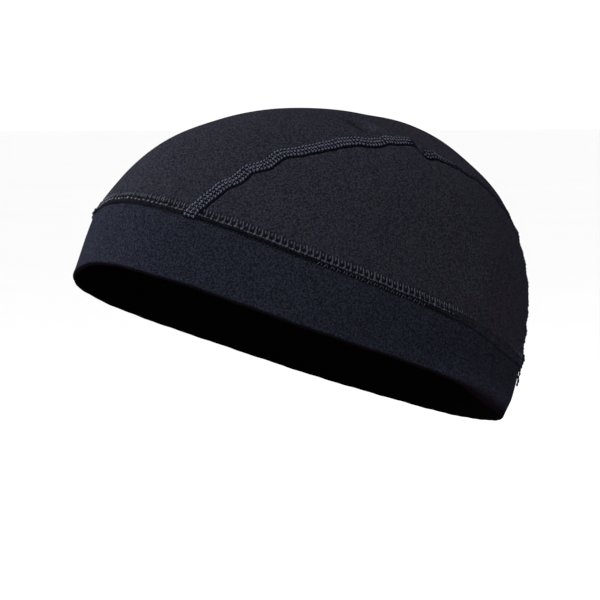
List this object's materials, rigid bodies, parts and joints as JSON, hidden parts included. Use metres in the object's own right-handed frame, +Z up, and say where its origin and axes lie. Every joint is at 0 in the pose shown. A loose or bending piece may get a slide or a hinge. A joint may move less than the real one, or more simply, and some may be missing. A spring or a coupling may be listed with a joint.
{
  "type": "helmet liner skull cap",
  "caption": "Thin stretch skull cap worn under a helmet, in the form that a head gives it: three-panel crown, double band and raised flat seams.",
  "frame": {"origin": "centre of the head's opening, at rim level, straight under the highest point of the crown before the cap is tilted", "axes": "-Y to the forehead, +X to the wearer's left, +Z up; the rim is tilted 20.5 degrees, forehead up, as worn in the picture"},
  "size_m": [0.1707, 0.1954, 0.1344],
  "materials": {
    "band_cloth": "matt fine knit, blue-black",
    "crown_cloth": "matt fine knit, blue-black",
    "seam_thread": "dull black overlock thread"
  },
  "bodies": {
    "root": {"band": "band_cloth", "crown_centre": "crown_cloth", "crown_left": "crown_cloth", "crown_right": "crown_cloth", "seam_band": "seam_thread", "seam_left": "seam_thread", "seam_right": "seam_thread"}
  },
  "joints": []
}
